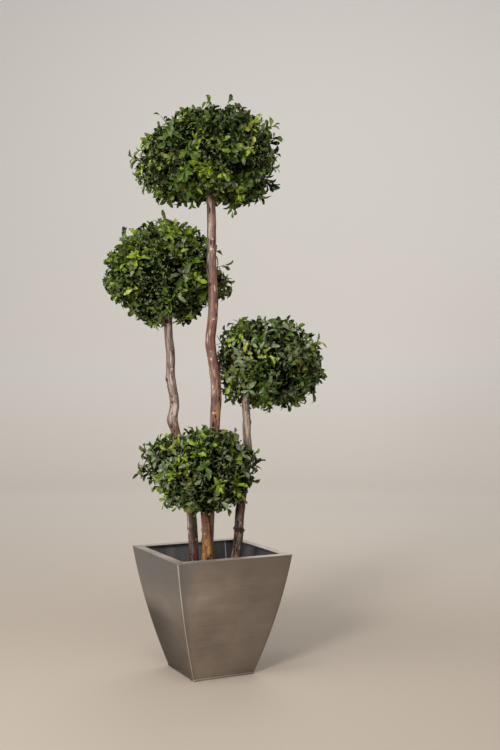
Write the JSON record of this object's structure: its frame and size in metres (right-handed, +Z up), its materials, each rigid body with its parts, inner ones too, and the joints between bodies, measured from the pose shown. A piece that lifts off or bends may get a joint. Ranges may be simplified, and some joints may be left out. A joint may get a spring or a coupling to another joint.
{
  "type": "potted ball topiary",
  "caption": "Ball topiary with clipped spheres of small glossy leaves on bent natural stems, standing in a tapered square zinc planter.",
  "frame": {"origin": "middle of the planter's flat underside, on the floor", "axes": "+Z up, X and Y along the planter's sides, with the planter's front side facing -Y"},
  "size_m": [0.6616, 0.579, 1.839],
  "materials": {
    "zinc": "brushed satin zinc with a soft grey patina",
    "zinc_lip": "rubbed satin zinc, lighter than the walls",
    "potting_mix": "dark crumbly bark-based potting mix",
    "bark_tall": "smooth reddish brown bark with peeled patches and knots",
    "bark_left": "weathered grey-brown bark with dark knots",
    "bark_right": "cracked grey-brown to black-brown bark",
    "bark_front": "peeled tan wood with darker grain",
    "foliage": "small glossy evergreen leaves, deep to yellow-green"
  },
  "bodies": {
    "root": {"planter_body": "zinc", "planter_lip_front": "zinc_lip", "planter_lip_right": "zinc_lip", "planter_lip_back": "zinc_lip", "planter_lip_left": "zinc_lip", "potting_mix": "potting_mix", "stem_tall": "bark_tall", "stem_left": "bark_left", "stem_right": "bark_right", "stem_front": "bark_front", "ball_top": "foliage", "ball_left": "foliage", "ball_right": "foliage", "ball_low": "foliage"}
  },
  "joints": []
}
